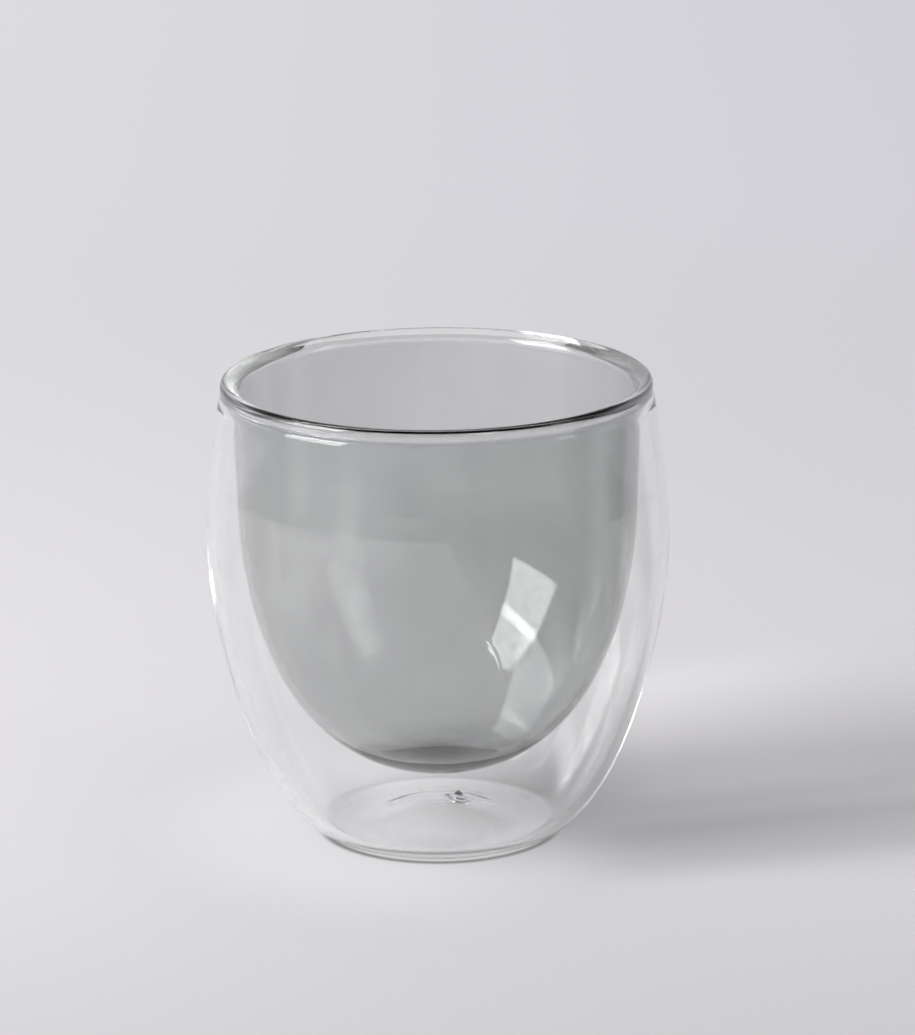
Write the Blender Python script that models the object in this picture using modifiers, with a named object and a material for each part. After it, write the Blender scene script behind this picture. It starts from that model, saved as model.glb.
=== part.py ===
"""Double-walled glass cup: a clear outer shell, a smoke-grey liner, the rim bead that welds
their top edges, and the drop of glass that seals the vent in the base.

Metres, +Z up. The origin lies on the cup's axis, at the surface that it stands on.
"""

import math

import bpy
import numpy as np

# Rim bead
CUP_HEIGHT = 0.0898  # table to the top of the bead
RIM_DIAMETER = 0.0827  # outside of the bead
RIM_WIDTH = 0.00365  # across the bead, from its outside to the mouth
RIM_INSET = 0.00125  # the bead's highest ring, in from its outside
RIM_CROWN = 0.0014  # rounded outer top, above the bead's widest level
RIM_SKIRT = 0.0009  # upright outside, below the widest level

# Outer shell
OUTER_WALL = 0.0015  # glass thickness at the shoulder and belly
NECK_STEP = 0.00045  # how far the neck stands out past the bead
NECK_DROP = 0.0024  # height of the shallow crease under the bead
NECK_SLOPE = 0.17  # outward run of the neck for each unit of drop
BELLY_BULGE = 0.00315  # how far the widest level stands out past the bead
BELLY_DROP = 0.0288  # widest level below the top edge of the shell
FOOT_DIAMETER = 0.0402  # outer edge of the flat ring that the cup stands on
FOOT_RING_WIDTH = 0.0040
BASE_THICKNESS = 0.0020
KICK_UP = 0.0040  # rise of the pushed-up middle of the base
PLATEAU_DIAMETER = 0.0170  # flat middle of the base

# Liner
LINER_WALL = 0.0013
LINER_BUTTON = 0.0027  # glass thickness at the bottom, where the bowl was closed
LINER_STRAIGHT = 0.0230  # near-straight wall below the rim
LINER_DRAFT = 0.0006  # how much the straight wall draws in
LINER_FLOOR_GAP = 0.0066  # air under the liner

# Vent and its seal
VENT_DIAMETER = 0.0030
VENT_RIGHT = 0.0036  # the vent was pierced a little off the axis
VENT_BACK = 0.0022
SEAL_CROWN_DIAMETER = 0.0056
SEAL_CROWN_HEIGHT = 0.0007
SEAL_BUTTON_DIAMETER = 0.0044
SEAL_BUTTON_HEIGHT = 0.0007

# Clearance at the welded seams
WELD_GAP = 0.0003

# Fullness of the curves: the length of a curve's end handle as a share of the curve's own span
SLOPE_FULLNESS = (0.45, 0.45)
CREASE_FULLNESS = (0.30, 0.33)
SHOULDER_FULLNESS = (0.54, 0.22)
FLANK_FULLNESS = (0.29, 0.60)
PUNT_FULLNESS = (0.50, 0.50)
LINER_FULLNESS = (0.57, 0.61)
BUTTON_SHARPNESS = 4  # how closely the liner's thick bottom keeps to its middle

# Facets
TURN_STEPS = 64
SEAL_STEPS = 24
ARC_POINTS = 4
CREASE_POINTS = 4
SHOULDER_POINTS = 5
FLANK_POINTS = 15
PUNT_POINTS = 5
LINER_POINTS = 13
CROWN_POINTS = 6
SHARP_ANGLE = math.radians(35)

# Sizes that follow from those above
RIM_RADIUS = RIM_DIAMETER / 2
MOUTH_RADIUS = RIM_RADIUS - RIM_WIDTH
TOP_RADIUS = RIM_RADIUS - RIM_INSET
SEAT_HEIGHT = CUP_HEIGHT - RIM_CROWN - RIM_SKIRT
WALL_TOP = SEAT_HEIGHT - WELD_GAP
NECK_RADIUS = RIM_RADIUS + NECK_STEP
NECK_HEIGHT = WALL_TOP - NECK_DROP
BELLY_RADIUS = RIM_RADIUS + BELLY_BULGE
BELLY_HEIGHT = WALL_TOP - BELLY_DROP
FOOT_RADIUS = FOOT_DIAMETER / 2
FLOOR_TOP = KICK_UP + BASE_THICKNESS
LINER_RADIUS = MOUTH_RADIUS + LINER_WALL
KNEE_RADIUS = LINER_RADIUS - LINER_DRAFT
KNEE_HEIGHT = WALL_TOP - LINER_STRAIGHT
LINER_BOTTOM = FLOOR_TOP + LINER_FLOOR_GAP

# Glass, with linear colours
CLEAR_GLASS = (0.90, 0.92, 0.92)
SMOKE_GLASS = (0.36, 0.40, 0.39)
GLASS_IOR = 1.47
GLASS_ROUGHNESS = 0.02

# Points nearer than this are one point
SAME_POINT = 0.00001


def bezier(start, start_handle, end_handle, end, count):
    """Points of a cubic curve in the (radius, height) plane, and its unit normals.

    The normals lie on the left of travel: on a profile run down its outer side they point out of the glass.
    """
    t = np.linspace(0, 1, count)[:, None]
    a, b, c, d = (np.array(point, float) for point in (start, start_handle, end_handle, end))
    points = (1 - t) ** 3 * a + 3 * (1 - t) ** 2 * t * b + 3 * (1 - t) * t**2 * c + t**3 * d
    travel = (1 - t) ** 2 * (b - a) + 2 * (1 - t) * t * (c - b) + t**2 * (d - c)
    travel /= np.linalg.norm(travel, axis=1, keepdims=True)
    normals = np.stack([-travel[:, 1], travel[:, 0]], axis=1)
    return points, normals


def quarter(centre, across, up, start, count=ARC_POINTS):
    """A quarter ellipse, run clockwise from the start angle in degrees."""
    angle = np.radians(np.linspace(start, start - 90, count))
    return np.stack([centre[0] + across * np.cos(angle), centre[1] + up * np.sin(angle)], axis=1)


def along(*stretches):
    """Stretches of profile joined end to end, with the repeated joint points left out."""
    points = np.vstack([np.atleast_2d(stretch) for stretch in stretches])
    step = np.linalg.norm(np.diff(points, axis=0), axis=1)
    return points[np.concatenate([[True], step > SAME_POINT])]


def outer_wall_profile():
    """From the middle of the inner floor, up inside, over the top edge and down outside to the base."""
    above, below = (share * NECK_DROP for share in CREASE_FULLNESS)
    crease, _ = bezier(
        (RIM_RADIUS, WALL_TOP),
        (RIM_RADIUS + NECK_SLOPE * above, WALL_TOP - above),
        (NECK_RADIUS - NECK_SLOPE * below, NECK_HEIGHT + below),
        (NECK_RADIUS, NECK_HEIGHT),
        CREASE_POINTS,
    )

    rise = NECK_HEIGHT - BELLY_HEIGHT
    out, back = (share * rise for share in SHOULDER_FULLNESS)
    shoulder, shoulder_normals = bezier(
        (NECK_RADIUS, NECK_HEIGHT),
        (NECK_RADIUS + NECK_SLOPE * out, NECK_HEIGHT - out),
        (BELLY_RADIUS, BELLY_HEIGHT + back),
        (BELLY_RADIUS, BELLY_HEIGHT),
        SHOULDER_POINTS,
    )

    down = FLANK_FULLNESS[0] * BELLY_HEIGHT
    across = FLANK_FULLNESS[1] * (BELLY_RADIUS - FOOT_RADIUS)
    flank, flank_normals = bezier(
        (BELLY_RADIUS, BELLY_HEIGHT),
        (BELLY_RADIUS, BELLY_HEIGHT - down),
        (FOOT_RADIUS + across, 0),
        (FOOT_RADIUS, 0),
        FLANK_POINTS,
    )

    ring_radius = FOOT_RADIUS - FOOT_RING_WIDTH
    plateau_radius = PLATEAU_DIAMETER / 2
    run = ring_radius - plateau_radius
    punt, punt_normals = bezier(
        (ring_radius, 0),
        (ring_radius - PUNT_FULLNESS[0] * run, 0),
        (plateau_radius + PUNT_FULLNESS[1] * run, KICK_UP),
        (plateau_radius, KICK_UP),
        PUNT_POINTS,
    )

    # The glass thickens evenly from the belly to the foot.
    flank_wall = np.linspace(OUTER_WALL, BASE_THICKNESS, FLANK_POINTS)[:, None]
    inside = along(
        shoulder - OUTER_WALL * shoulder_normals,
        flank - flank_wall * flank_normals,
        punt - BASE_THICKNESS * punt_normals,
        (0, FLOOR_TOP),
    )
    inner_lip = (RIM_RADIUS - OUTER_WALL, WALL_TOP)
    return along(inside[::-1], inner_lip, crease, shoulder, flank, punt, (0, KICK_UP))


def inner_liner_profile():
    """From the middle of the bowl, up inside, over the top edge, down outside, to the lowest point."""
    drop = KNEE_HEIGHT - LINER_BOTTOM
    lean = LINER_DRAFT / LINER_STRAIGHT
    down = LINER_FULLNESS[0] * drop
    bowl, normals = bezier(
        (KNEE_RADIUS, KNEE_HEIGHT),
        (KNEE_RADIUS - lean * down, KNEE_HEIGHT - down),
        (LINER_FULLNESS[1] * KNEE_RADIUS, LINER_BOTTOM),
        (0, LINER_BOTTOM),
        LINER_POINTS,
    )
    share = np.linspace(0, 1, LINER_POINTS)[:, None] ** BUTTON_SHARPNESS
    wall = LINER_WALL + (LINER_BUTTON - LINER_WALL) * share
    inside = (bowl - wall * normals)[::-1]
    inside[0, 0] = 0
    return along(inside, (MOUTH_RADIUS, WALL_TOP), (LINER_RADIUS, WALL_TOP), bowl)


def rim_bead_profile():
    """A closed ring section: a rounded slope up from the mouth, a round outer top and a flat seat."""
    rise = CUP_HEIGHT - SEAT_HEIGHT
    run = TOP_RADIUS - MOUTH_RADIUS
    slope, _ = bezier(
        (MOUTH_RADIUS, SEAT_HEIGHT),
        (MOUTH_RADIUS, SEAT_HEIGHT + SLOPE_FULLNESS[0] * rise),
        (TOP_RADIUS - SLOPE_FULLNESS[1] * run, CUP_HEIGHT),
        (TOP_RADIUS, CUP_HEIGHT),
        CROWN_POINTS,
    )
    crown = quarter((TOP_RADIUS, CUP_HEIGHT - RIM_CROWN), RIM_INSET, RIM_CROWN, 90, CROWN_POINTS)
    return along(slope, crown, (RIM_RADIUS, SEAT_HEIGHT))


def vent_seal_profile():
    """A drop that fills the vent and wells up as a crown above the floor and a button below it."""
    stem_radius = VENT_DIAMETER / 2 - WELD_GAP
    crown_seat = FLOOR_TOP + WELD_GAP
    button_seat = KICK_UP - WELD_GAP
    crown = quarter((0, crown_seat), SEAL_CROWN_DIAMETER / 2, SEAL_CROWN_HEIGHT, 90)
    button = quarter((0, button_seat), SEAL_BUTTON_DIAMETER / 2, SEAL_BUTTON_HEIGHT, 0)
    return along(crown, (stem_radius, crown_seat), (stem_radius, button_seat), button)


def glass(name, colour):
    """A smooth clear or tinted glass."""
    material = bpy.data.materials.new(name)
    material.use_nodes = True
    shader = material.node_tree.nodes["Principled BSDF"]
    shader.inputs["Base Color"].default_value = (*colour, 1)
    shader.inputs["Roughness"].default_value = GLASS_ROUGHNESS
    shader.inputs["Metallic"].default_value = 0
    shader.inputs["IOR"].default_value = GLASS_IOR
    shader.inputs["Transmission Weight"].default_value = 1
    return material


def turned(name, profile, collection, steps=TURN_STEPS, ring=False):
    """A profile turned about the Z axis; a ring's profile is a closed loop that stays off the axis."""
    count = len(profile)
    vertices = [(radius, 0, height) for radius, height in profile]
    edges = [(i, i + 1) for i in range(count - 1)]
    if ring:
        edges.append((count - 1, 0))
    mesh = bpy.data.meshes.new(name)
    mesh.from_pydata(vertices, edges, [])
    piece = bpy.data.objects.new(name, mesh)
    collection.objects.link(piece)
    screw = piece.modifiers.new("turn", "SCREW")
    screw.axis = "Z"
    screw.steps = steps
    screw.render_steps = steps
    screw.use_merge_vertices = True
    screw.merge_threshold = SAME_POINT
    return piece


def round_cutter(name, radius, low, high, collection):
    """An upright cylinder for cutting a hole, from one height to another."""
    bpy.ops.mesh.primitive_cylinder_add(
        vertices=SEAL_STEPS, radius=radius, depth=high - low, location=(0, 0, (low + high) / 2)
    )
    cutter = bpy.context.object
    cutter.name = name
    for home in list(cutter.users_collection):
        home.objects.unlink(cutter)
    collection.objects.link(cutter)
    cutter.hide_render = True
    cutter.display_type = "WIRE"
    return cutter


def finish(piece, material):
    """The piece as a plain mesh, shaded smooth apart from its real edges."""
    graph = bpy.context.evaluated_depsgraph_get()
    mesh = bpy.data.meshes.new_from_object(piece.evaluated_get(graph))
    piece.modifiers.clear()
    piece.data = mesh
    mesh.name = piece.name
    mesh.materials.clear()
    mesh.materials.append(material)
    mesh.shade_smooth()
    mesh.set_sharp_from_angle(angle=SHARP_ANGLE)


def new_collection(name):
    collection = bpy.data.collections.new(name)
    bpy.context.scene.collection.children.link(collection)
    return collection


def main():
    for item in list(bpy.data.objects):
        bpy.data.objects.remove(item, do_unlink=True)
    cup = new_collection("double_walled_glass_cup")
    cutters = new_collection("cutters")

    outer_wall = turned("outer_wall", outer_wall_profile(), cup)
    vent = round_cutter("vent_hole", VENT_DIAMETER / 2, 0, FLOOR_TOP + KICK_UP, cutters)
    vent.location.x = VENT_RIGHT
    vent.location.y = VENT_BACK
    cut = outer_wall.modifiers.new("vent", "BOOLEAN")
    cut.operation = "DIFFERENCE"
    cut.object = vent
    finish(outer_wall, glass("clear_glass", CLEAR_GLASS))

    inner_liner = turned("inner_liner", inner_liner_profile(), cup)
    finish(inner_liner, glass("smoke_glass", SMOKE_GLASS))

    rim_bead = turned("rim_bead", rim_bead_profile(), cup, ring=True)
    finish(rim_bead, glass("rim_glass", CLEAR_GLASS))

    vent_seal = turned("vent_seal", vent_seal_profile(), cup, steps=SEAL_STEPS)
    finish(vent_seal, glass("seal_glass", CLEAR_GLASS))
    vent_seal.location.x = VENT_RIGHT
    vent_seal.location.y = VENT_BACK


main()
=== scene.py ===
"""Looks of a double-walled glass cup, laid out as an add-on.

A clear blown shell and a smoke-grey liner meet under a clear rim bead, and a drop of glass seals the vent
in the shell's base. Every piece is a turned skin: a section in the (radius, height) plane that is carried
round the axis. Lengths are metres and +Z is up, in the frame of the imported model.
"""

import math

import bpy
import numpy as np
from mathutils import Matrix, Vector


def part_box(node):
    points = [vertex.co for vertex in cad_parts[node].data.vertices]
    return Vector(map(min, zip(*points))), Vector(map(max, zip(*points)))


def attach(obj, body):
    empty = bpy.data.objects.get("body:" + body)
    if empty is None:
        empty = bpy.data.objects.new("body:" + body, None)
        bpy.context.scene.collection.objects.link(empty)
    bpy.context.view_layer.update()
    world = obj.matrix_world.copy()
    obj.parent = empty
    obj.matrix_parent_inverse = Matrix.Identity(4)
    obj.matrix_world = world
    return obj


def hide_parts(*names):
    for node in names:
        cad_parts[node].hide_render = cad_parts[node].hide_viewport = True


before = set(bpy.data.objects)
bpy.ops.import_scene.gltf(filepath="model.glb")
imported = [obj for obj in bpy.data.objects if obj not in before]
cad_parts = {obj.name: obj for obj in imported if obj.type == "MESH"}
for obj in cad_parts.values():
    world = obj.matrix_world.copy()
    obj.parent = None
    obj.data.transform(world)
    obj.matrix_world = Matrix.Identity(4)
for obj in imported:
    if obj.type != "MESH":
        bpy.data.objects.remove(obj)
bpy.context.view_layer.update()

bl_info = {
    "name": "Double-walled glass cup",
    "version": (1, 0, 0),
    "blender": (4, 5, 0),
    "location": "View3D > Sidebar > Glass cup",
    "description": "Builds the glass pieces of a double-walled cup and the pale stage that it stands on",
    "category": "Add Mesh",
}

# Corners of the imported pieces, which the defaults below come from
BEAD_LOW, BEAD_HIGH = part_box("rim_bead")
_, SHELL_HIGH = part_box("outer_wall")
LINER_LOW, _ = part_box("inner_liner")
SEAL_LOW, SEAL_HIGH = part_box("vent_seal")

# How far the liner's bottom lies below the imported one
LINER_SAG = 0.0004

COLLECTION = "glass_cup_looks"

# How finely the skins are divided. TIP_CROWDING is the power that draws the drop's points to its middle.
TURN_STEPS = 252
SEAL_STEPS = 96
SHOULDER_POINTS = 34
FLANK_POINTS = 96
PUNT_POINTS = 40
LINER_POINTS = 110
STRAIGHT_POINTS = 26
CROWN_POINTS = 36
EDGE_POINTS = 9
TIP_CROWDING = 1.5
SAME_POINT = 1e-7
SHARP_EDGE = math.radians(40)

# Curves: the length of each end handle, as a share of the curve's own span
CREASE_FULLNESS = (0.30, 0.33)
SHOULDER_FULLNESS = (0.54, 0.22)
FLANK_FULLNESS = (0.29, 0.60)
LINER_FULLNESS = (0.585, 0.625)
SLOPE_FULLNESS = (0.45, 0.45)

# The power of the superellipse that rounds the bead's outer top
RIM_BLUNTNESS = 2.4

# The web under the bead: how far it rounds off, and the handle that leads up into it
WEB_ROUNDING = 0.0008
WEB_RISE = 0.0005
WEB_LEAN = 0.00005

# Hand-worked glass: each wave's lobes, share, turn with the piece's phase and twist over its height
WAVES = ((2, 1.0, 1.0, 0.0), (3, 0.6, -1.7, 3.0), (7, 0.3, 2.3, -5.0))
SHELL_PHASE = 0.8
LINER_PHASE = 2.1

# The waves fade within this radius of the axis, and end this far below the bead's seat
POLE_FADE = 0.02
UNWORKED_TOP = 0.002

# Blown glass: streaks drawn down its height, and clouds of colour and haze
GLASS_IOR = 1.47
STREAK_SCALE = 90
STREAK_DETAIL = 2
STREAK_STRETCH = (1, 1, 0.12)
CLOUD_SCALE = 60
CLOUD_DETAIL = 3
TINT_CLOUD = (0.3, 0.7)
PALE_TINT = 1.01
DEEP_TINT = 0.985
HAZE_CLOUD = (0.35, 0.8)
HAZE = 0.012

# Places of the Mix node's colour sockets
MIX_COLOURS = (6, 7)
MIX_RESULT = 2

# The camera: the height of the photograph in its own pixels, and of the film in millimetres
FRAME_HEIGHT = 1035
FILM_HEIGHT = 36.0


def length(name, description, default, soft_max=0.2):
    """A size in metres that a user may change."""
    return bpy.props.FloatProperty(
        name=name,
        description=description,
        default=default,
        min=0.0,
        soft_max=soft_max,
        precision=5,
        unit="LENGTH",
    )


def share(name, description, default, high=1.0):
    """A plain number from 0 up."""
    return bpy.props.FloatProperty(
        name=name, description=description, default=default, min=0.0, soft_max=high, precision=3
    )


def colour(name, description, default):
    """A linear colour."""
    return bpy.props.FloatVectorProperty(
        name=name,
        description=description,
        default=default,
        size=3,
        min=0.0,
        max=1.0,
        subtype="COLOR",
    )


def turn(name, description, degrees):
    """An angle, given here in degrees."""
    return bpy.props.FloatProperty(
        name=name, description=description, default=math.radians(degrees), subtype="ANGLE"
    )


class CupSizes(bpy.types.PropertyGroup):
    """Sizes of the glass."""

    cup_height: length("Cup height", "Table to the top of the rim bead", BEAD_HIGH.z)
    rim_radius: length("Rim radius", "Outside of the rim bead", BEAD_HIGH.x)
    rim_width: length("Rim width", "Across the rim bead", 0.00365)
    rim_inset: length("Rim inset", "Highest ring of the bead, in from its outside", 0.00125)
    rim_crown: length("Rim crown", "Round outer top of the bead above its widest level", 0.0014)
    seat_height: length("Seat height", "Level where the walls meet the bead", BEAD_LOW.z)
    weld: length("Weld", "How far welded pieces run into each other", 0.00004)
    outer_wall: length("Outer wall", "Glass thickness at the shoulder and belly", 0.00175)
    web_depth: length("Web depth", "Depth of the solid glass that joins both walls under the bead", 0.0002)
    neck_step: length("Neck step", "How far the neck stands out past the bead", 0.00045)
    neck_drop: length("Neck drop", "Height of the shallow crease under the bead", 0.0024)
    neck_slope: share("Neck slope", "Outward run of the neck for each unit of drop", 0.17)
    belly_radius: length("Belly radius", "Widest level of the shell", SHELL_HIGH.x)
    belly_height: length("Belly height", "Height of the widest level", 0.0584)
    foot_radius: length("Foot radius", "Outer edge of the flat ring that the cup stands on", 0.0201)
    foot_ring: length("Foot ring", "Width of the flat ring", 0.0020)
    base_thickness: length("Base thickness", "Glass thickness of the base", 0.0020)
    kick_up: length("Kick-up", "Rise of the pushed-up middle of the base", 0.0032)
    liner_wall: length("Liner wall", "Glass thickness of the liner", 0.0013)
    liner_button: length("Liner button", "Glass thickness at the bottom of the liner", 0.0048)
    liner_button_radius: length("Liner button radius", "Half the width of the thick bottom", 0.0105)
    liner_straight: length("Liner straight", "Near-straight wall below the rim", 0.0230)
    liner_draft: length("Liner draft", "How much the straight wall draws in", 0.0006)
    liner_bottom: length("Liner bottom", "Lowest level of the liner", LINER_LOW.z - LINER_SAG)
    vent_radius: length("Vent radius", "Hole in the base", 0.0015)
    vent_right: length("Vent right", "Vent from the axis, to the right", (SEAL_LOW.x + SEAL_HIGH.x) / 2)
    vent_back: length("Vent back", "Vent from the axis, to the back", (SEAL_LOW.y + SEAL_HIGH.y) / 2)
    seal_crown_radius: length("Seal crown radius", "Drop above the floor", (SEAL_HIGH.x - SEAL_LOW.x) / 2)
    seal_crown: length("Seal crown", "Height of the drop above the floor", 0.0004)
    seal_tip: length("Seal tip", "Height of the tip where the torch left the drop", 0.0008)
    seal_tip_radius: length("Seal tip radius", "Half the width of the tip", 0.0006)
    seal_button: length("Seal button", "Depth of the drop below the base", 0.0004)
    seal_button_radius: length("Seal button radius", "Drop below the base", 0.0022)
    unevenness: length("Unevenness", "How far hand-worked glass strays from a true turn", 0.00008, 0.001)


class GlassLooks(bpy.types.PropertyGroup):
    """Colours and finish of the glass."""

    clear_tint: colour("Clear tint", "What the clear glass lets through", (0.985, 0.990, 0.988))
    smoke_tint: colour("Smoke tint", "What a face of the smoke glass lets through", (0.93, 0.94, 0.933))
    clear_inside: colour("Clear inside", "Colour that deep clear glass leaves in light", (0.50, 0.53, 0.44))
    clear_density: share("Clear density", "Strength of the clear glass, for each metre", 2.0, 100.0)
    smoke_inside: colour("Smoke inside", "Colour that the smoke glass leaves in light", (0.39, 0.40, 0.395))
    smoke_density: share("Smoke density", "Strength of the smoke glass, for each metre", 215.0, 1000.0)
    ripple: length("Ripple", "Depth of the fine ripple in blown glass", 0.000012, 0.001)
    clear_shadow: share("Clear shadow", "Light that a face of clear glass passes to its shadow", 0.96)
    smoke_shadow: share("Smoke shadow", "Light that a face of smoke glass passes to its shadow", 0.80)


class StageLooks(bpy.types.PropertyGroup):
    """Camera, lamps and the pale surface under the cup."""

    camera_distance: length("Camera distance", "Camera from the axis, along the floor", 0.90973, 5.0)
    camera_height: length("Camera height", "Camera above the floor", 0.31867, 5.0)
    camera_pitch: turn("Camera pitch", "How far the camera looks down", 15.763)
    camera_yaw: turn("Camera yaw", "How far the camera looks to the right", 0.240)
    camera_roll: turn("Camera roll", "How far the picture leans", 0.506)
    focal_pixels: bpy.props.FloatProperty(
        name="Focal length in pixels",
        description="Focal length, in pixels of the full frame",
        default=4916.7,
        min=1.0,
    )
    near_colour: colour("Near colour", "Floor beside the cup", (0.657, 0.646, 0.661))
    # Painted light: the far floor is paler on the left, towards the window, and dimmer on the right.
    left_colour: colour("Left colour", "Far floor on the left", (0.735, 0.728, 0.765))
    right_colour: colour("Right colour", "Far floor on the right", (0.625, 0.615, 0.660))
    room_colour: colour("Room colour", "Light from the pale room", (0.55, 0.545, 0.555))
    dark_colour: colour("Dark colour", "Unlit part of the room that the glass mirrors", (0.04, 0.04, 0.04))
    dusk_colour: colour("Dusk colour", "Half-lit part of the room on the left", (0.50, 0.50, 0.51))
    window_strength: share("Window strength", "Brightness of the window", 10.0, 100.0)
    fill_strength: share("Fill strength", "Brightness of the pale card on the right", 2.0, 100.0)


def cubic(start, start_handle, end_handle, end, count):
    """A cubic curve and its normals.

    The four points are weighted by the cubic Bernstein polynomials of t, with t even from 0 to 1. A normal is
    the direction of travel turned a quarter to the left.
    """
    t = np.linspace(0, 1, count)[:, None]
    a, b, c, d = (np.array(point, float) for point in (start, start_handle, end_handle, end))
    points = (1 - t) ** 3 * a + 3 * (1 - t) ** 2 * t * b + 3 * (1 - t) * t**2 * c + t**3 * d
    travel = (1 - t) ** 2 * (b - a) + 2 * (1 - t) * t * (c - b) + t**2 * (d - c)
    travel /= np.linalg.norm(travel, axis=1, keepdims=True)
    normals = np.stack([-travel[:, 1], travel[:, 0]], axis=1)
    return points, normals


def arc(centre, across, up, start, end, count):
    """Part of an ellipse: the centre plus (across cos a, up sin a), with a from start to end in degrees."""
    angle = np.radians(np.linspace(start, end, count))
    return np.stack([centre[0] + across * np.cos(angle), centre[1] + up * np.sin(angle)], axis=1)


def straight(start, end, count):
    """Evenly spaced points of a straight line."""
    t = np.linspace(0, 1, count)[:, None]
    return (1 - t) * np.array(start, float) + t * np.array(end, float)


def along(*stretches):
    """Stretches joined end to end, with the repeated joint points left out."""
    points = np.vstack([np.atleast_2d(stretch) for stretch in stretches])
    step = np.linalg.norm(np.diff(points, axis=0), axis=1)
    return points[np.concatenate([[True], step > SAME_POINT])]


def shell_section(sizes):
    """The shell's section, clockwise from its top edge, as (radius, height, slide).

    Cubic curves make the crease under the bead, the shoulder and the flank. The inside lies square to them
    at the wall's thickness, and at the top it bends in as a thin web that meets the liner. Slide is 0 where
    a ring is centred on the axis and 1 where it is centred on the vent: it grows across the base, which is
    still flat.
    """
    top = sizes.seat_height + sizes.weld
    neck = (sizes.rim_radius + sizes.neck_step, top - sizes.neck_drop)
    belly = (sizes.belly_radius, sizes.belly_height)
    foot = (sizes.foot_radius, 0.0)
    above, below = (part * sizes.neck_drop for part in CREASE_FULLNESS)
    crease, _ = cubic(
        (sizes.rim_radius, top),
        (sizes.rim_radius + sizes.neck_slope * above, top - above),
        (neck[0] - sizes.neck_slope * below, neck[1] + below),
        neck,
        2 * EDGE_POINTS,
    )
    out, back = (part * (neck[1] - belly[1]) for part in SHOULDER_FULLNESS)
    shoulder, shoulder_normals = cubic(
        neck,
        (neck[0] + sizes.neck_slope * out, neck[1] - out),
        (belly[0], belly[1] + back),
        belly,
        SHOULDER_POINTS,
    )
    down, across = FLANK_FULLNESS[0] * belly[1], FLANK_FULLNESS[1] * (belly[0] - foot[0])
    flank, flank_normals = cubic(
        belly, (belly[0], belly[1] - down), (foot[0] + across, 0), foot, FLANK_POINTS
    )

    ring_radius = sizes.foot_radius - sizes.foot_ring
    radii = np.concatenate(
        [
            np.linspace(sizes.foot_radius, ring_radius, EDGE_POINTS)[1:],
            np.linspace(ring_radius, sizes.vent_radius, PUNT_POINTS)[1:],
        ]
    )
    slide = np.clip((ring_radius - radii) / (ring_radius - sizes.vent_radius), 0, 1)
    slide = slide * slide * (3 - 2 * slide)
    under = np.stack([radii, np.zeros_like(radii), slide], axis=1)
    floor = under[::-1] + [0, sizes.base_thickness, 0]

    # The glass thickens evenly from the belly to the foot.
    flank_wall = np.linspace(sizes.outer_wall, sizes.base_thickness, FLANK_POINTS)[:, None]
    inside = along(
        shoulder - sizes.outer_wall * shoulder_normals,
        flank - flank_wall * flank_normals,
    )[::-1]
    web_level = top - sizes.web_depth
    inside = inside[inside[:, 1] < web_level - WEB_ROUNDING]
    inner = sizes.rim_radius - sizes.rim_width + sizes.liner_wall - sizes.weld
    web, _ = cubic(
        inside[-1],
        inside[-1] + [-WEB_LEAN, WEB_RISE],
        (inner + WEB_ROUNDING, web_level),
        (inner, web_level),
        2 * EDGE_POINTS,
    )
    lip = straight(web[-1], (inner, top), EDGE_POINTS)

    def centred(points):
        return np.column_stack([points, np.zeros(len(points))])

    return np.vstack(
        [centred(along(crease, shoulder, flank)), under, floor, centred(along(inside, web, lip))]
    )


def liner_section(sizes):
    """The liner's section: from the middle of the bowl up inside, over the top edge and down outside.

    The outside is a near-straight wall and a cubic curve to the bottom. The inside lies square to it at the
    wall's thickness, which grows to the button's by exp(-(r / button radius)^2), where r is the radius.
    """
    top = sizes.seat_height + sizes.weld
    mouth_radius = sizes.rim_radius - sizes.rim_width
    outer_radius = mouth_radius + sizes.liner_wall
    knee = (outer_radius - sizes.liner_draft, top - sizes.liner_straight)
    lean = sizes.liner_draft / sizes.liner_straight
    down = LINER_FULLNESS[0] * (knee[1] - sizes.liner_bottom)
    bowl, normals = cubic(
        knee,
        (knee[0] - lean * down, knee[1] - down),
        (LINER_FULLNESS[1] * knee[0], sizes.liner_bottom),
        (0.0, sizes.liner_bottom),
        LINER_POINTS,
    )
    way = np.exp(-((bowl[:, :1] / sizes.liner_button_radius) ** 2))
    wall = sizes.liner_wall + (sizes.liner_button - sizes.liner_wall) * way
    inside = (bowl - wall * normals)[::-1]
    inside[0, 0] = 0.0
    return along(
        inside,
        straight(inside[-1], (mouth_radius, top), STRAIGHT_POINTS),
        straight((mouth_radius, top), (outer_radius, top), EDGE_POINTS),
        straight((outer_radius, top), knee, STRAIGHT_POINTS),
        bowl,
    )


def bead_section(sizes):
    """The bead's section, clockwise: a blunt outer top, an upright outside, a flat seat and a slope.

    The outer top is a quarter of a superellipse. The slope is a cubic curve from the mouth to the top.
    """
    apex = (sizes.rim_radius - sizes.rim_inset, sizes.cup_height)
    mouth = (sizes.rim_radius - sizes.rim_width, sizes.seat_height)
    edge = (sizes.rim_radius, sizes.seat_height)
    angle = np.radians(np.linspace(90, 0, CROWN_POINTS))
    way = np.stack([np.abs(np.cos(angle)), np.abs(np.sin(angle))], axis=1) ** (2 / RIM_BLUNTNESS)
    crown = way * [sizes.rim_inset, sizes.rim_crown] + [apex[0], apex[1] - sizes.rim_crown]
    rise, run = apex[1] - mouth[1], apex[0] - mouth[0]
    slope, _ = cubic(
        mouth,
        (mouth[0], mouth[1] + SLOPE_FULLNESS[0] * rise),
        (apex[0] - SLOPE_FULLNESS[1] * run, apex[1]),
        apex,
        CROWN_POINTS,
    )
    return along(
        crown, straight(crown[-1], edge, EDGE_POINTS), straight(edge, mouth, 2 * EDGE_POINTS), slope
    )[:-1]


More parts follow.
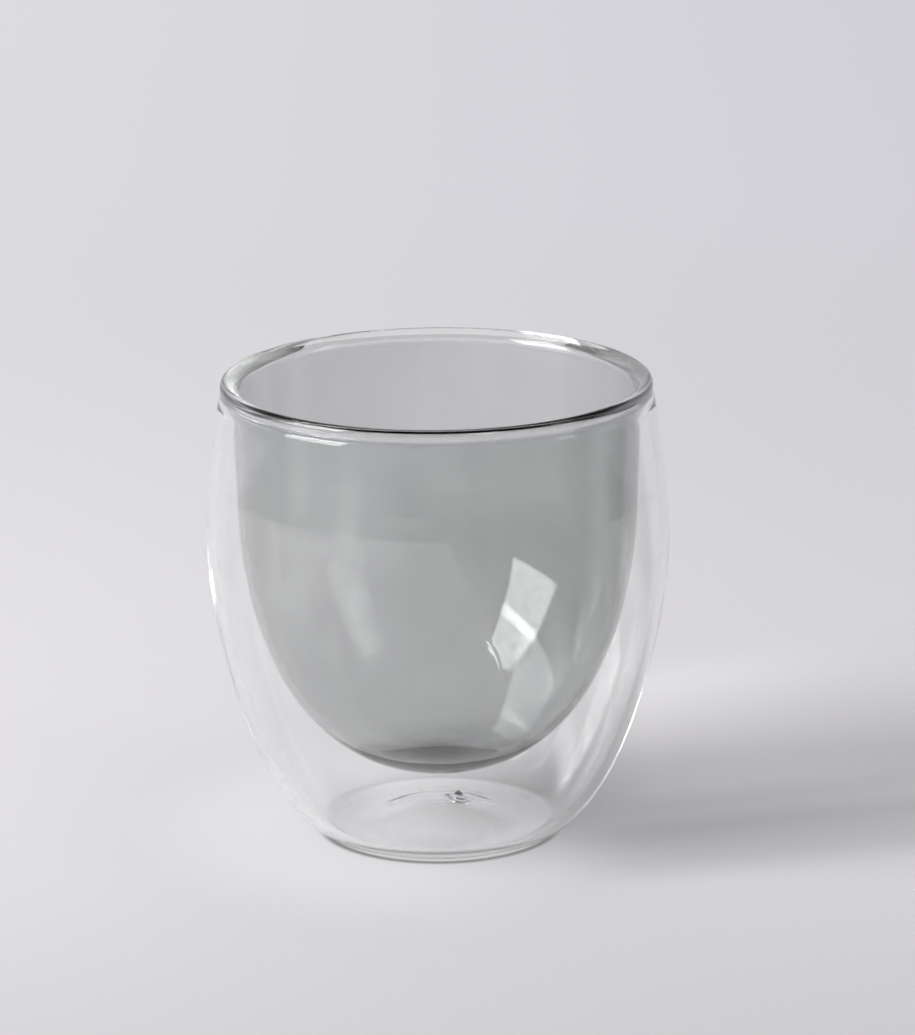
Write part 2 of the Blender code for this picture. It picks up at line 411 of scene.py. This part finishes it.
def seal_section(sizes):
    """The drop's section: a low crown with a tip, a stem through the vent and a low button below.

    The crown's height is a parabola of the radius r. The tip adds its height times exp(-(r / tip radius)^2),
    and the button is a quarter of an ellipse.
    """
    floor_top = sizes.base_thickness - sizes.weld
    under = sizes.weld
    stem = sizes.vent_radius + sizes.weld
    radius = np.linspace(0, 1, 2 * CROWN_POINTS) ** TIP_CROWDING * sizes.seal_crown_radius
    rise = sizes.seal_crown * (1 - (radius / sizes.seal_crown_radius) ** 2)
    rise += sizes.seal_tip * np.exp(-((radius / sizes.seal_tip_radius) ** 2))
    crown = np.stack([radius, floor_top + rise], axis=1)
    button = arc((0, under), sizes.seal_button_radius, sizes.seal_button, 0, -90, CROWN_POINTS)
    points = along(
        crown,
        straight(crown[-1], (stem, floor_top), EDGE_POINTS),
        straight((stem, floor_top), (stem, under), EDGE_POINTS),
        straight((stem, under), button[0], EDGE_POINTS),
        button,
    )
    points[[0, -1], 0] = 0.0
    return points


def carried_round(section, steps, vent=(0.0, 0.0)):
    """A section carried round the axis, as a grid of points.

    Row i and column j give the point at angle a_j on a circle of radius r_i and height z_i, whose centre lies
    at slide_i of the way from the axis to the vent.
    """
    angle = np.linspace(0, 2 * math.pi, steps, endpoint=False)
    radius, height = section[:, 0, None], section[:, 1, None]
    slide = section[:, 2, None] if section.shape[1] > 2 else np.zeros_like(radius)
    grid = np.empty((len(section), steps, 3))
    grid[..., 0] = slide * vent[0] + radius * np.cos(angle)
    grid[..., 1] = slide * vent[1] + radius * np.sin(angle)
    grid[..., 2] = height
    return grid


def pushed_up(grid, sizes):
    """A grid lifted over the pushed-up base: by half the kick-up times 1 + cos(pi d / R).

    Here d is the distance from the axis and R the inner edge of the foot ring, with no lift beyond it.
    """
    ring_radius = sizes.foot_radius - sizes.foot_ring
    way = np.clip(np.hypot(grid[..., 0], grid[..., 1]) / ring_radius, 0, 1)
    lifted = grid.copy()
    lifted[..., 2] += 0.5 * sizes.kick_up * (1 + np.cos(math.pi * way))
    return lifted


def hand_worked(grid, amount, low, high, phase):
    """A grid pushed in and out a little, as glass that was turned by hand.

    The push is the amount times a sum of slow cosines of the angle and the height. It fades to none at the
    lowest and the highest level, so that the welded edges still meet, and towards the axis.
    """
    x, y, z = np.moveaxis(grid, -1, 0)
    angle = np.arctan2(y, x)
    way = np.clip((z - low) / (high - low), 0, 1)
    fade = np.sin(math.pi * way) ** 0.5
    wave = sum(
        part * np.cos(lobes * angle + turned * phase + twist * way) for lobes, part, turned, twist in WAVES
    )
    radius = np.maximum(np.hypot(x, y), SAME_POINT)
    push = amount * fade * wave * np.clip(radius / POLE_FADE, 0, 1)
    moved = grid.copy()
    moved[..., 0] += push * x / radius
    moved[..., 1] += push * y / radius
    return moved


def skin(name, grid, ring):
    """A closed mesh over a grid. A ring joins its last row to its first; otherwise the end rows are poles."""
    rows, steps = grid.shape[:2]
    here = np.arange(steps)[None, :]
    after = (here + 1) % steps
    if ring:
        points = grid.reshape(-1, 3)
        near = np.arange(rows)[:, None] * steps
        far = np.roll(near, -1, axis=0)
        fans = []
    else:
        points = np.vstack([grid[0, :1], grid[1:-1].reshape(-1, 3), grid[-1, :1]])
        starts = 1 + np.arange(rows - 2)[:, None] * steps
        near, far = starts[:-1], starts[1:]
        pole = np.full_like(here, len(points) - 1)
        first_fan = np.stack([np.zeros_like(here), starts[0] + here, starts[0] + after], axis=-1)
        last_fan = np.stack([starts[-1] + here, pole, starts[-1] + after], axis=-1)
        fans = np.concatenate([first_fan, last_fan]).reshape(-1, 3).tolist()
    quads = np.stack([near + here, far + here, far + after, near + after], axis=-1).reshape(-1, 4)
    mesh = bpy.data.meshes.new(name)
    mesh.from_pydata(points.tolist(), [], quads.tolist() + fans)
    mesh.validate()
    mesh.shade_smooth()
    mesh.set_sharp_from_angle(angle=SHARP_EDGE)
    return mesh


def node(tree, kind, **inputs):
    """A new node, with plain values set on its inputs. An underscore in a name stands for a space."""
    made = tree.nodes.new(kind)
    for name, value in inputs.items():
        made.inputs[name.replace("_", " ")].default_value = value
    return made


def maths(tree, operation, first, second=None):
    """A Math node's output, from sockets or plain numbers."""
    made = tree.nodes.new("ShaderNodeMath")
    made.operation = operation
    for socket, value in zip(made.inputs, (first, second)):
        if isinstance(value, bpy.types.NodeSocket):
            tree.links.new(value, socket)
        elif value is not None:
            socket.default_value = value
    return made.outputs[0]


def times(tree, *factors):
    """The product of sockets and plain numbers."""
    product = factors[0]
    for factor in factors[1:]:
        product = maths(tree, "MULTIPLY", product, factor)
    return product


def largest(tree, *values):
    """The largest of sockets and plain numbers."""
    top = values[0]
    for value in values[1:]:
        top = maths(tree, "MAXIMUM", top, value)
    return top


def distance(tree, place, middle):
    """How far a place lies from a fixed point."""
    made = tree.nodes.new("ShaderNodeVectorMath")
    made.operation = "DISTANCE"
    tree.links.new(place, made.inputs[0])
    made.inputs[1].default_value = middle
    return made.outputs["Value"]


def scaled(tree, shade, factor):
    """A colour made brighter or dimmer by a factor."""
    made = tree.nodes.new("ShaderNodeVectorMath")
    made.operation = "SCALE"
    tree.links.new(shade, made.inputs[0])
    tree.links.new(factor, made.inputs["Scale"])
    return made.outputs["Vector"]


def blend(tree, factor, first, second):
    """Two shaders mixed by a factor."""
    made = tree.nodes.new("ShaderNodeMixShader")
    for socket, value in zip(made.inputs, (factor, first, second)):
        tree.links.new(value, socket)
    return made.outputs["Shader"]


def ranged(tree, value, low, high, to_low=0.0, to_high=1.0):
    """A value moved smoothly from one range to another, and held at its ends."""
    made = node(tree, "ShaderNodeMapRange")
    made.interpolation_type = "SMOOTHSTEP"
    tree.links.new(value, made.inputs["Value"])
    for name, number in zip(("From Min", "From Max", "To Min", "To Max"), (low, high, to_low, to_high)):
        made.inputs[name].default_value = number
    return made.outputs["Result"]


def mixed(tree, factor, first, second):
    """A blend of two colours, each a socket or a plain colour."""
    made = tree.nodes.new("ShaderNodeMix")
    made.data_type = "RGBA"
    tree.links.new(factor, made.inputs["Factor"])
    for index, value in zip(MIX_COLOURS, (first, second)):
        socket = made.inputs[index]
        if isinstance(value, bpy.types.NodeSocket):
            tree.links.new(value, socket)
        else:
            socket.default_value = (*value, 1)
    return made.outputs[MIX_RESULT]


def noise(tree, scale, detail, stretch=(1, 1, 1)):
    """Noise on the piece's own coordinates, stretched along its axes."""
    place = tree.nodes.new("ShaderNodeTexCoord")
    mapping = node(tree, "ShaderNodeMapping", Scale=stretch)
    made = node(tree, "ShaderNodeTexNoise", Scale=scale, Detail=detail)
    tree.links.new(place.outputs["Object"], mapping.inputs["Vector"])
    tree.links.new(mapping.outputs["Vector"], made.inputs["Vector"])
    return made.outputs["Fac"]


def blown_glass(name, tint, passes, inside, density, ripple_depth):
    """Blown glass: smooth, faintly drawn down its height, with a trace of haze and uneven colour.

    Lamps shine through it to what lies behind, and its depth darkens it towards the inside colour.
    """
    material = bpy.data.materials.new(name)
    material.use_nodes = True
    tree = material.node_tree
    tree.nodes.clear()
    glass = node(
        tree, "ShaderNodeBsdfPrincipled", IOR=GLASS_IOR, Transmission_Weight=1.0, Metallic=0.0
    )
    streaks = noise(tree, STREAK_SCALE, STREAK_DETAIL, STREAK_STRETCH)
    cloud = noise(tree, CLOUD_SCALE, CLOUD_DETAIL)
    pale = tuple(min(1.0, PALE_TINT * channel) for channel in tint)
    deep = tuple(DEEP_TINT * channel for channel in tint)
    tree.links.new(mixed(tree, ranged(tree, cloud, *TINT_CLOUD), pale, deep), glass.inputs["Base Color"])
    tree.links.new(ranged(tree, cloud, *HAZE_CLOUD, 0.0, HAZE), glass.inputs["Roughness"])
    ripple = node(tree, "ShaderNodeBump", Strength=1.0, Distance=ripple_depth)
    tree.links.new(streaks, ripple.inputs["Height"])
    tree.links.new(ripple.outputs["Normal"], glass.inputs["Normal"])

    path = tree.nodes.new("ShaderNodeLightPath")
    shader = glass.outputs["BSDF"]
    for kind in ("Is Diffuse Ray", "Is Shadow Ray"):
        clear = node(tree, "ShaderNodeBsdfTransparent", Color=(passes, passes, passes, 1))
        shader = blend(tree, path.outputs[kind], shader, clear.outputs["BSDF"])
    output = tree.nodes.new("ShaderNodeOutputMaterial")
    tree.links.new(shader, output.inputs["Surface"])
    volume = node(tree, "ShaderNodeVolumeAbsorption", Color=(*inside, 1), Density=density)
    tree.links.new(volume.outputs["Volume"], output.inputs["Volume"])
    return material


def clear_glass(name, looks):
    """The clear glass of the shell, the bead and the drop."""
    return blown_glass(
        name, looks.clear_tint, looks.clear_shadow, looks.clear_inside, looks.clear_density, looks.ripple
    )


def smoke_glass(name, looks):
    """The smoke-grey glass of the liner."""
    return blown_glass(
        name, looks.smoke_tint, looks.smoke_shadow, looks.smoke_inside, looks.smoke_density, looks.ripple
    )


def add_piece(mesh, material, cad_node):
    """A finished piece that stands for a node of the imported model."""
    home = bpy.data.collections.get(COLLECTION)
    if home is None:
        home = bpy.data.collections.new(COLLECTION)
        bpy.context.scene.collection.children.link(home)
    piece = bpy.data.objects.new(mesh.name, mesh)
    home.objects.link(piece)
    mesh.materials.append(material)
    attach(piece, "root")
    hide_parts(cad_node)


class GLASSCUP_OT_outer_wall(bpy.types.Operator):
    """Builds the clear blown shell with its pushed-up base and vent"""

    bl_idname = "glasscup.outer_wall"
    bl_label = "Outer wall"

    def execute(self, context):
        sizes, looks = context.scene.cup_sizes, context.scene.cup_glass
        vent = (sizes.vent_right, sizes.vent_back)
        grid = pushed_up(carried_round(shell_section(sizes), TURN_STEPS, vent), sizes)
        # The foot and the welded top keep a true turn.
        low, high = 2 * sizes.base_thickness, sizes.seat_height - UNWORKED_TOP
        grid = hand_worked(grid, sizes.unevenness, low, high, SHELL_PHASE)
        mesh = skin("outer_wall_glass", grid, True)
        add_piece(mesh, clear_glass("clear_glass", looks), "outer_wall")
        return {"FINISHED"}


class GLASSCUP_OT_inner_liner(bpy.types.Operator):
    """Builds the smoke-grey bowl that holds the drink"""

    bl_idname = "glasscup.inner_liner"
    bl_label = "Inner liner"

    def execute(self, context):
        sizes, looks = context.scene.cup_sizes, context.scene.cup_glass
        grid = carried_round(liner_section(sizes), TURN_STEPS)
        high = sizes.seat_height - UNWORKED_TOP
        grid = hand_worked(grid, sizes.unevenness, sizes.liner_bottom, high, LINER_PHASE)
        mesh = skin("inner_liner_glass", grid, False)
        add_piece(mesh, smoke_glass("smoke_glass", looks), "inner_liner")
        return {"FINISHED"}


class GLASSCUP_OT_rim_bead(bpy.types.Operator):
    """Builds the clear rounded ring at the mouth"""

    bl_idname = "glasscup.rim_bead"
    bl_label = "Rim bead"

    def execute(self, context):
        sizes, looks = context.scene.cup_sizes, context.scene.cup_glass
        grid = carried_round(bead_section(sizes), TURN_STEPS)
        mesh = skin("rim_bead_glass", grid, True)
        add_piece(mesh, clear_glass("rim_glass", looks), "rim_bead")
        return {"FINISHED"}


class GLASSCUP_OT_vent_seal(bpy.types.Operator):
    """Builds the drop of glass that closes the vent"""

    bl_idname = "glasscup.vent_seal"
    bl_label = "Vent seal"

    def execute(self, context):
        sizes, looks = context.scene.cup_sizes, context.scene.cup_glass
        grid = carried_round(seal_section(sizes), SEAL_STEPS)
        grid[..., 0] += sizes.vent_right
        grid[..., 1] += sizes.vent_back
        grid = pushed_up(grid, sizes)
        mesh = skin("vent_seal_glass", grid, False)
        add_piece(mesh, clear_glass("seal_glass", looks), "vent_seal")
        return {"FINISHED"}


# In the pairs from here to the lamps, an effect or a blend starts at the first value and is full at the
# second. Places on the paper are metres from the cup's axis: across to the right and along to the back.

# The paper, and where it turns into an even backdrop
FLOOR_SINK = 0.0001
FLOOR_SIDE = 2.5
FLOOR_FRONT = -2.5
FLOOR_BACK = 3.0
FLOOR_POINTS = 11
PAPER_ROUGHNESS = 0.75
PAPER_SHINE = 0.2
GRAIN_SCALE = 900
GRAIN_DETAIL = 3
GRAIN_SPREAD = (0.3, 0.7)
GRAIN_SHADE = 0.985
BACKDROP_ALONG = (0.12, 0.6)
BACKDROP_ACROSS = (-0.10, -0.40)
BACKDROP_BLEND = (-0.35, 0.35)

# The pool of light under the base: its reach from the axis, and its gain at the edge on the left and in full
POOL_REACH = (0.0245, 0.0215)
POOL_ACROSS = (-0.024, -0.008)
POOL_ALONG = (-0.022, -0.006)
POOL_EDGE = -0.08
POOL_GAIN = 0.38
POOL_FRONT = 0.3

# The thin line of shade where the foot touches the paper
FOOT_TOUCH = 0.0231
FOOT_TOUCH_WIDTH = 0.0013
FOOT_SHADE = 0.62
FOOT_SHADE_ALONG = (0.0, -0.012)

# The light that the glass throws round the foot
HALO_REACH = (0.066, 0.026)
HALO_START = (0.0235, 0.0250)
HALO_ACROSS = (0.03, -0.01)
HALO_GAIN = 0.16

# The cup's shadow on the right is lifted on its far side and deepened on its near side, across a slant
SHADOW_SLANT = 0.28
SHADOW_REACH = (0.20, 0.12)
LIFT_START = (0.03, 0.045)
LIFT_FADE = (0.10, 0.055)
LIFT_LEFT_OVER = 0.35
LIFT_FRONT = (-0.006, 0.008)
LIFT_BACK = (0.10, 0.07)
SHADOW_LIFT = 0.11
DEEPEN_START = (0.02, 0.04)
DEEPEN_FRONT = (-0.052, -0.034)
DEEPEN_BACK = (-0.008, -0.020)
SHADOW_DEEPEN = 0.15

# The paper dims away from the lamps
DIM_ACROSS = (-0.10, 0.10)
DIM_RIGHT = 0.95
DIM_ALONG = (0.02, -0.15)
DIM_FRONT = 0.84

# The table as the glass mirrors it: sun on the left
SUN_ACROSS = (-0.07, -0.22)
SUN_END = (-0.60, -0.40)
SUN_ALONG = (0.02, -0.05)
SUN_GAIN = 0.85

# The table as the glass mirrors it: a round of lit paper with dusk beyond it
TABLE_MIDDLE = (-0.02, -0.245, 0.0)
TABLE_RADIUS = 0.55
TABLE_EDGE = 0.03
TABLE_BACK = (0.26, 0.18)
DUSK_RIGHT = (0.13, 0.20)
DUSK_NEAR_RIGHT = (0.045, 0.085)
DUSK_NEAR_SHARE = 0.95
DUSK_RIGHT_ALONG = (0.04, -0.03)
DUSK_FRONT = (-0.05, -0.2)
DUSK_FRONT_SHARE = 0.2
DUSK_BLEND = (0.0, -0.5)
CORNER_SLANT = 1.4
CORNER_ASIDE = (-0.01, 0.05)
CORNER_ALONG = (0.04, 0.10)
CORNER_BLEND = (-0.05, 0.05)
CORNER_LEFT = 0.15
CORNER_RIGHT = 0.75

# The room, by the parts of a direction of length 1: its walls, its ceiling and the bright patch on the left
ROOM_BLEND = (-0.6, 0.6)
BACK_WALL = (0.0, 0.4)
LEFT_WALL = (-0.2, -0.6)
LEFT_WALL_SHARE = 0.7
CEILING = (0.55, 0.35)
PATCH_ACROSS = (-0.35, -0.75)
PATCH_ALONG = (-0.1, 0.2)
PATCH_UP = (0.18, 0.30)
PATCH_GAIN = 2.5

# Lamps: bearing from the front and the elevations of both edges in degrees, reach and width in metres
WINDOW = (-70, 10, 49, 1.75, 1.14)
WINDOW_BAR = (-70, 26.5, 31.5, 1.74, 1.14)
FILL_CARD = (73, 7, 43, 1.5, 0.32)
BAR_GAIN = 1.13
LAMP_AIM = 0.045

# The longest way of light inside the glass
BOUNCES = 160


def paper_gain(tree, x, y, away):
    """How bright the paper is near the cup, as a factor.

    The base gathers a pool of light, most of it at the back and right, and the foot shades a thin line in
    front. Round the foot the glass throws light on the paper, and the shadow on the right leans to the front.
    Away from the lamps, to the right and the front, the paper dims.
    """
    pool = times(
        tree,
        ranged(tree, away, *POOL_REACH),
        ranged(tree, x, *POOL_ACROSS, POOL_EDGE, POOL_GAIN),
        ranged(tree, y, *POOL_ALONG, POOL_FRONT, 1.0),
    )
    touch = times(
        tree,
        ranged(tree, away, FOOT_TOUCH - FOOT_TOUCH_WIDTH, FOOT_TOUCH),
        ranged(tree, away, FOOT_TOUCH + FOOT_TOUCH_WIDTH, FOOT_TOUCH, 0.0, FOOT_SHADE),
        ranged(tree, y, *FOOT_SHADE_ALONG),
    )
    halo = times(
        tree,
        ranged(tree, away, *HALO_REACH, 0.0, HALO_GAIN),
        ranged(tree, away, *HALO_START),
        ranged(tree, x, *HALO_ACROSS),
    )
    across = maths(tree, "SUBTRACT", y, times(tree, x, SHADOW_SLANT))
    nearby = ranged(tree, x, *SHADOW_REACH)
    lift = times(
        tree,
        nearby,
        ranged(tree, x, *LIFT_START),
        ranged(tree, x, *LIFT_FADE, LIFT_LEFT_OVER, 1.0),
        ranged(tree, across, *LIFT_FRONT, 0.0, SHADOW_LIFT),
        ranged(tree, across, *LIFT_BACK),
    )
    deepen = times(
        tree,
        nearby,
        ranged(tree, x, *DEEPEN_START),
        ranged(tree, across, *DEEPEN_FRONT, 0.0, SHADOW_DEEPEN),
        ranged(tree, across, *DEEPEN_BACK),
    )
    return times(
        tree,
        maths(tree, "ADD", 1.0, pool),
        maths(tree, "SUBTRACT", 1.0, touch),
        maths(tree, "ADD", 1.0, halo),
        maths(tree, "ADD", 1.0, lift),
        maths(tree, "SUBTRACT", 1.0, deepen),
        ranged(tree, x, *DIM_ACROSS, 1.0, DIM_RIGHT),
        ranged(tree, y, *DIM_ALONG, 1.0, DIM_FRONT),
    )


def mirrored_sun(tree, x, y):
    """Extra light of the paper on the left, where the glass mirrors it or lets it through."""
    return times(
        tree,
        ranged(tree, x, *SUN_ACROSS, 0.0, SUN_GAIN),
        ranged(tree, x, *SUN_END),
        ranged(tree, y, *SUN_ALONG),
    )


def mirrored_dusk(tree, place, x, y):
    """How far the paper lies in the dusk that the glass mirrors.

    The dusk lies off the table, on the right, in front, and in the far corners on both sides.
    """
    off = times(
        tree,
        ranged(tree, distance(tree, place, TABLE_MIDDLE), TABLE_RADIUS, TABLE_RADIUS + TABLE_EDGE),
        ranged(tree, y, *TABLE_BACK),
    )
    right = times(
        tree,
        largest(
            tree, ranged(tree, x, *DUSK_RIGHT), ranged(tree, x, *DUSK_NEAR_RIGHT, 0.0, DUSK_NEAR_SHARE)
        ),
        ranged(tree, y, *DUSK_RIGHT_ALONG),
    )
    front = ranged(tree, y, *DUSK_FRONT, 0.0, DUSK_FRONT_SHARE)
    aside = maths(tree, "SUBTRACT", largest(tree, x, times(tree, x, -1.0)), times(tree, y, CORNER_SLANT))
    corners = times(
        tree,
        ranged(tree, aside, *CORNER_ASIDE),
        ranged(tree, y, *CORNER_ALONG),
        ranged(tree, x, *CORNER_BLEND, CORNER_LEFT, CORNER_RIGHT),
    )
    return largest(tree, off, right, front, corners)


def pale_paper(stage):
    """Matt pale paper, which takes the light near the cup.

    Far behind the cup, and far out on the left where the camera sees it, it shows an even colour that is
    paler on the left. Rays that the glass has bent see it with more light on the left and with the dusk.
    """
    material = bpy.data.materials.new("pale_paper")
    material.use_nodes = True
    tree = material.node_tree
    tree.nodes.clear()
    place = tree.nodes.new("ShaderNodeTexCoord").outputs["Object"]
    axes = tree.nodes.new("ShaderNodeSeparateXYZ")
    tree.links.new(place, axes.inputs[0])
    x, y = axes.outputs["X"], axes.outputs["Y"]
    away = distance(tree, place, (0.0, 0.0, 0.0))
    path = tree.nodes.new("ShaderNodeLightPath")
    bent = largest(tree, path.outputs["Is Glossy Ray"], path.outputs["Is Transmission Ray"])
    seen = largest(tree, path.outputs["Is Camera Ray"], bent)

    near = tuple(stage.near_colour)
    grain = ranged(tree, noise(tree, GRAIN_SCALE, GRAIN_DETAIL), *GRAIN_SPREAD)
    grained = mixed(tree, grain, near, tuple(GRAIN_SHADE * channel for channel in near))
    paper = node(
        tree, "ShaderNodeBsdfPrincipled", Roughness=PAPER_ROUGHNESS, Specular_IOR_Level=PAPER_SHINE
    )
    tree.links.new(scaled(tree, grained, paper_gain(tree, x, y, away)), paper.inputs["Base Color"])

    # The far floor glows an even colour with painted light: paler on the left, towards the window.
    backdrop = node(tree, "ShaderNodeEmission", Strength=1.0)
    even = mixed(tree, ranged(tree, x, *BACKDROP_BLEND), stage.left_colour, stage.right_colour)
    tree.links.new(even, backdrop.inputs["Color"])
    behind = times(tree, seen, ranged(tree, y, *BACKDROP_ALONG))
    under_window = times(tree, path.outputs["Is Camera Ray"], ranged(tree, x, *BACKDROP_ACROSS))
    far = largest(tree, behind, under_window)
    shader = blend(tree, far, paper.outputs["BSDF"], backdrop.outputs["Emission"])

    sun = node(tree, "ShaderNodeEmission", Color=(*near, 1))
    tree.links.new(times(tree, bent, mirrored_sun(tree, x, y)), sun.inputs["Strength"])
    sunlit = tree.nodes.new("ShaderNodeAddShader")
    tree.links.new(shader, sunlit.inputs[0])
    tree.links.new(sun.outputs["Emission"], sunlit.inputs[1])

    dusk = node(tree, "ShaderNodeEmission", Strength=1.0)
    dim = mixed(tree, ranged(tree, x, *DUSK_BLEND), stage.dark_colour, stage.dusk_colour)
    tree.links.new(dim, dusk.inputs["Color"])
    unlit = times(tree, bent, mirrored_dusk(tree, place, x, y))
    shader = blend(tree, unlit, sunlit.outputs["Shader"], dusk.outputs["Emission"])
    output = tree.nodes.new("ShaderNodeOutputMaterial")
    tree.links.new(shader, output.inputs["Surface"])
    return material


def add_floor(stage):
    """The pale surface: a flat sheet on a coarse grid, a hair below the foot."""
    count = FLOOR_POINTS
    x = np.linspace(-FLOOR_SIDE, FLOOR_SIDE, count)
    y = np.linspace(FLOOR_FRONT, FLOOR_BACK, count)
    points = np.stack([*np.meshgrid(x, y), np.full((count, count), -FLOOR_SINK)], axis=-1).reshape(-1, 3)
    corner = (np.arange(count - 1)[:, None] * count + np.arange(count - 1)[None, :]).reshape(-1)
    quads = np.stack([corner, corner + 1, corner + count + 1, corner + count], axis=-1)
    mesh = bpy.data.meshes.new("floor")
    mesh.from_pydata(points.tolist(), [], quads.tolist())
    mesh.materials.append(pale_paper(stage))
    floor = bpy.data.objects.new("floor", mesh)
    bpy.context.scene.collection.objects.link(floor)


def add_room(stage):
    """The room: pale where it is seen, and an even light elsewhere.

    Rays that the glass has bent see a pale wall behind and on the left, with a bright patch on it, and the
    dark in front and overhead, where no lamp reaches.
    """
    world = bpy.data.worlds.new("pale_room")
    world.use_nodes = True
    bpy.context.scene.world = world
    tree = world.node_tree
    tree.nodes.clear()
    place = tree.nodes.new("ShaderNodeTexCoord")
    axes = tree.nodes.new("ShaderNodeSeparateXYZ")
    tree.links.new(place.outputs["Generated"], axes.inputs[0])
    x, y, z = axes.outputs["X"], axes.outputs["Y"], axes.outputs["Z"]
    path = tree.nodes.new("ShaderNodeLightPath")
    bent = largest(tree, path.outputs["Is Glossy Ray"], path.outputs["Is Transmission Ray"])

    pale = mixed(tree, ranged(tree, x, *ROOM_BLEND), stage.left_colour, stage.right_colour)
    wall = largest(
        tree, ranged(tree, y, *BACK_WALL), ranged(tree, x, *LEFT_WALL, 0.0, LEFT_WALL_SHARE)
    )
    below_ceiling = ranged(tree, z, *CEILING)
    mirrored = mixed(tree, times(tree, wall, below_ceiling), stage.dark_colour, pale)
    patch = times(
        tree,
        ranged(tree, x, *PATCH_ACROSS),
        ranged(tree, y, *PATCH_ALONG),
        ranged(tree, z, *PATCH_UP),
        below_ceiling,
        PATCH_GAIN,
    )
    mirrored = scaled(tree, mirrored, maths(tree, "ADD", 1.0, patch))
    lit = mixed(tree, bent, stage.room_colour, mirrored)
    room = mixed(tree, path.outputs["Is Camera Ray"], lit, pale)
    background = node(tree, "ShaderNodeBackground", Strength=1.0)
    tree.links.new(room, background.inputs["Color"])
    output = tree.nodes.new("ShaderNodeOutputWorld")
    tree.links.new(background.outputs["Background"], output.inputs["Surface"])


def add_panel(name, bearing, low, high, reach, width, radiance):
    """An upright lamp panel that faces the cup.

    Bearing is measured from the front, to the right. Low and high are the elevations of its edges as the cup
    sees them, in degrees, and its power is pi times its area times its brightness.
    """
    away = np.array([math.sin(math.radians(bearing)), -math.cos(math.radians(bearing)), 0.0])
    bottom, top = (reach * math.tan(math.radians(edge)) for edge in (low, high))
    lamp = bpy.data.lights.new(name, "AREA")
    lamp.shape = "RECTANGLE"
    lamp.size = width
    lamp.size_y = top - bottom
    lamp.energy = math.pi * lamp.size * lamp.size_y * radiance
    panel = bpy.data.objects.new(name, lamp)
    panel.location = Vector(away * reach) + Vector((0, 0, LAMP_AIM + (bottom + top) / 2))
    panel.rotation_mode = "QUATERNION"
    panel.rotation_quaternion = Vector(-away).to_track_quat("-Z", "Y")
    bpy.context.scene.collection.objects.link(panel)


def add_camera(stage):
    """The camera: turned by yaw, pitch and roll from a level look along +Y."""
    data = bpy.data.cameras.new("camera")
    # The sensor's width lies along the longer side of the frame, which is its height.
    data.sensor_width = FILM_HEIGHT
    data.lens = stage.focal_pixels / FRAME_HEIGHT * FILM_HEIGHT
    camera = bpy.data.objects.new("camera", data)
    bpy.context.scene.collection.objects.link(camera)
    look = (
        Matrix.Rotation(-stage.camera_yaw, 4, "Z")
        @ Matrix.Rotation(math.pi / 2 - stage.camera_pitch, 4, "X")
        @ Matrix.Rotation(-stage.camera_roll, 4, "Z")
    )
    camera.matrix_world = Matrix.Translation((0, -stage.camera_distance, stage.camera_height)) @ look
    bpy.context.scene.camera = camera


class GLASSCUP_OT_stage(bpy.types.Operator):
    """Builds the pale floor, the room, the lamps and the camera"""

    bl_idname = "glasscup.stage"
    bl_label = "Stage"

    def execute(self, context):
        stage = context.scene.cup_stage
        add_floor(stage)
        add_room(stage)
        add_panel("window", *WINDOW, stage.window_strength)
        add_panel("window_bar", *WINDOW_BAR, BAR_GAIN * stage.window_strength)
        add_panel("fill_card", *FILL_CARD, stage.fill_strength)
        add_camera(stage)
        context.scene.view_settings.view_transform = "Standard"
        context.scene.cycles.max_bounces = BOUNCES
        context.scene.cycles.transmission_bounces = BOUNCES
        context.scene.cycles.glossy_bounces = BOUNCES
        context.scene.cycles.transparent_max_bounces = BOUNCES
        return {"FINISHED"}


class GLASSCUP_PT_build(bpy.types.Panel):
    """Lists the pieces of the cup, its sizes and its looks"""

    bl_idname = "GLASSCUP_PT_build"
    bl_label = "Glass cup"
    bl_space_type = "VIEW_3D"
    bl_region_type = "UI"
    bl_category = "Glass cup"

    def draw(self, context):
        for operator in OPERATORS:
            self.layout.operator(operator.bl_idname)
        for group in (context.scene.cup_sizes, context.scene.cup_glass, context.scene.cup_stage):
            box = self.layout.box()
            for name in group.__annotations__:
                box.prop(group, name)


GROUPS = {"cup_sizes": CupSizes, "cup_glass": GlassLooks, "cup_stage": StageLooks}
OPERATORS = (
    GLASSCUP_OT_outer_wall,
    GLASSCUP_OT_inner_liner,
    GLASSCUP_OT_rim_bead,
    GLASSCUP_OT_vent_seal,
    GLASSCUP_OT_stage,
)


def register():
    for item in (*GROUPS.values(), *OPERATORS, GLASSCUP_PT_build):
        bpy.utils.register_class(item)
    for name, group in GROUPS.items():
        setattr(bpy.types.Scene, name, bpy.props.PointerProperty(type=group))


def unregister():
    for name in GROUPS:
        delattr(bpy.types.Scene, name)
    for item in reversed((*GROUPS.values(), *OPERATORS, GLASSCUP_PT_build)):
        bpy.utils.unregister_class(item)


def main():
    register()
    bpy.ops.glasscup.outer_wall()
    bpy.ops.glasscup.inner_liner()
    bpy.ops.glasscup.rim_bead()
    bpy.ops.glasscup.vent_seal()
    bpy.ops.glasscup.stage()


if __name__ == "__main__":
    main()
